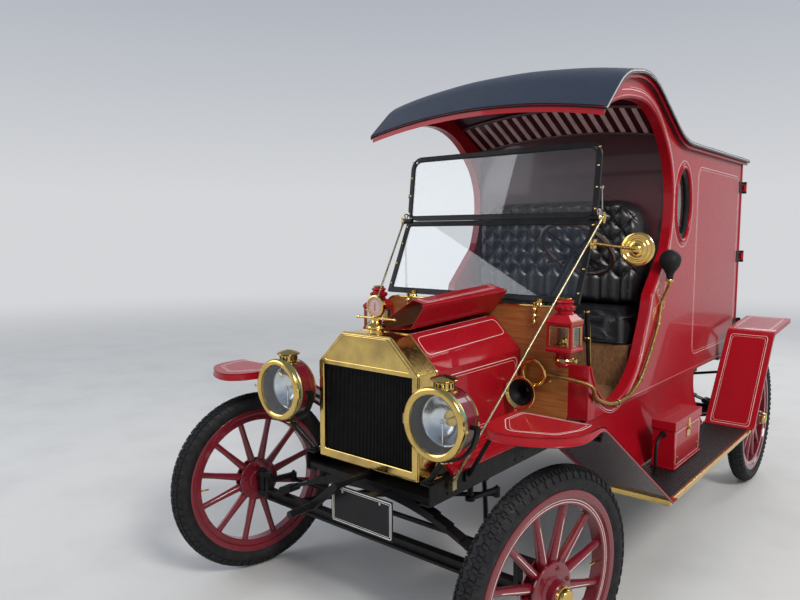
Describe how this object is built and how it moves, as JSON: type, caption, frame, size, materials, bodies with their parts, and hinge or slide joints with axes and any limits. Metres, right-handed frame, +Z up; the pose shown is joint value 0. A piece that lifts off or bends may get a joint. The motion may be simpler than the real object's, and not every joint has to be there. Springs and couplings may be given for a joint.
{
  "type": "vintage delivery car",
  "caption": "Brass-era delivery car with an open C-shaped cab, a closed load body, wooden-spoked wheels and a raised hood panel.",
  "frame": {"origin": "on the ground under the middle of the car's box", "axes": "+X to the car's left, -Y to its front, +Z up"},
  "size_m": [1.69, 3.3072, 2.1781],
  "materials": {
    "red_paint": "glossy enamel",
    "black_paint": "satin enamel",
    "brass": "polished",
    "steel": "worn",
    "cast_iron": "oily",
    "red_wood": "painted spokes and felloes",
    "dark_wood": "varnished rim",
    "varnished_wood": "varnished board",
    "floor_wood": "worn boards",
    "tyre": "black rubber",
    "bulb_rubber": "smooth rubber",
    "core_black": "finned core",
    "board_black": "ribbed boards",
    "roof_cloth": "coated roof cloth",
    "seat_leather": "tufted leather",
    "glass": "clear"
  },
  "bodies": {
    "chassis": {"frame_rails": "black_paint", "cross_members": "black_paint", "springs": "black_paint", "front_axle": "black_paint", "rear_axle": "black_paint", "steering_column": "black_paint", "engine": "cast_iron", "starting_crank": "black_paint", "cab_floor": "floor_wood", "roof_shell": "red_paint", "roof_cover": "roof_cloth", "body_sides": "red_paint", "cab_partition": "red_paint", "door_frame": "red_paint", "door_hinges": "black_paint", "firewall": "varnished_wood", "cowl": "red_paint", "radiator_shell": "brass", "radiator_core": "core_black", "hood_left": "red_paint", "hood_shelves": "red_paint", "front_fenders": "red_paint", "rear_fenders": "red_paint", "running_boards": "board_black", "splash_aprons": "red_paint", "windshield_frame": "black_paint", "window_glass": "glass", "windshield_stays": "steel", "seat_cushion": "seat_leather", "seat_back": "seat_leather", "headlamps": "brass", "lamp_glass": "glass", "lamp_forks": "black_paint", "side_lamps": "red_paint", "horn": "brass", "horn_bulb": "bulb_rubber", "door_mirror": "brass", "number_plate": "black_paint", "tool_box": "red_paint", "controls": "black_paint", "exhaust": "cast_iron", "fender_irons": "black_paint"},
    "knuckle_left": {"knuckle_left": "black_paint"},
    "knuckle_right": {"knuckle_right": "black_paint"},
    "wheel_front_left": {"wheel_front_left": "red_wood", "tyre_front_left": "tyre"},
    "wheel_front_right": {"wheel_front_right": "red_wood", "tyre_front_right": "tyre"},
    "wheel_rear_left": {"wheel_rear_left": "red_wood", "tyre_rear_left": "tyre"},
    "wheel_rear_right": {"wheel_rear_right": "red_wood", "tyre_rear_right": "tyre"},
    "tie_rod": {"tie_rod": "black_paint"},
    "pitman_arm": {"pitman_arm": "black_paint"},
    "steering_wheel": {"steering_wheel": "dark_wood"},
    "hood_top_right": {"hood_top_right": "red_paint"},
    "hood_side_right": {"hood_side_right": "red_paint"},
    "rear_door_left": {"rear_door_left": "red_paint"},
    "rear_door_right": {"rear_door_right": "red_paint"}
  },
  "joints": [
    {"name": "steer_left", "type": "hinge", "parent": "chassis", "child": "knuckle_left", "pos_m": [0.65, -1.26729, 0.38334], "axis": [0, 0, 1], "range_deg": [-23.5, 46.5]},
    {"name": "steer_right", "type": "hinge", "parent": "chassis", "child": "knuckle_right", "pos_m": [-0.65, -1.26729, 0.38334], "axis": [0, 0, 1], "range_deg": [-23.5, 46.5]},
    {"name": "spin_front_left", "type": "hinge", "parent": "knuckle_left", "child": "wheel_front_left", "pos_m": [0.65, -1.26729, 0.38334], "axis": [0.979, -0.1992, -0.0436], "continuous": true},
    {"name": "spin_front_right", "type": "hinge", "parent": "knuckle_right", "child": "wheel_front_right", "pos_m": [-0.65, -1.26729, 0.38334], "axis": [0.979, -0.1992, 0.0436], "continuous": true},
    {"name": "spin_rear_left", "type": "hinge", "parent": "chassis", "child": "wheel_rear_left", "pos_m": [0.711, 1.27271, 0.381], "axis": [1, 0, 0], "continuous": true},
    {"name": "spin_rear_right", "type": "hinge", "parent": "chassis", "child": "wheel_rear_right", "pos_m": [-0.711, 1.27271, 0.381], "axis": [1, 0, 0], "continuous": true},
    {"name": "tie_rod_pin", "type": "hinge", "parent": "knuckle_left", "child": "tie_rod", "pos_m": [0.6799, -1.1203, 0.381], "axis": [0, 0, 1], "range_deg": [-46.5, 23.5]},
    {"name": "pitman_shaft", "type": "hinge", "parent": "chassis", "child": "pitman_arm", "pos_m": [0.205, -0.93729, 0.425], "axis": [0, 0, 1], "range_deg": [-23.5, 46.5]},
    {"name": "steering_wheel_turn", "type": "hinge", "parent": "chassis", "child": "steering_wheel", "pos_m": [0.285, -0.21429, 1.385], "axis": [0.075, 0.6774, 0.7318], "range_deg": [-94, 186]},
    {"name": "hood_lid", "type": "hinge", "parent": "chassis", "child": "hood_top_right", "pos_m": [0, -1.18879, 1.0905], "axis": [0, 0.9988, 0.0496], "range_deg": [-174, 0]},
    {"name": "hood_side_fold", "type": "hinge", "parent": "hood_top_right", "child": "hood_side_right", "pos_m": [0.17339, -1.19849, 1.19739], "axis": [0.0388, 0.9982, 0.0461], "range_deg": [0, 116]},
    {"name": "door_left_hinge", "type": "hinge", "parent": "chassis", "child": "rear_door_left", "pos_m": [0.567, 1.51571, 1.32], "axis": [0, 0, 1], "range_deg": [-100, 0]},
    {"name": "door_right_hinge", "type": "hinge", "parent": "chassis", "child": "rear_door_right", "pos_m": [-0.567, 1.51571, 1.32], "axis": [0, 0, 1], "range_deg": [0, 100]}
  ],
  "couplings": [
    {"joint": "steer_right", "follows": "steer_left", "ratio": 1},
    {"joint": "tie_rod_pin", "follows": "steer_left", "ratio": -1},
    {"joint": "pitman_shaft", "follows": "steer_left", "ratio": 1},
    {"joint": "steering_wheel_turn", "follows": "steer_left", "ratio": 4},
    {"joint": "hood_side_fold", "follows": "hood_lid", "ratio": -0.66667}
  ]
}
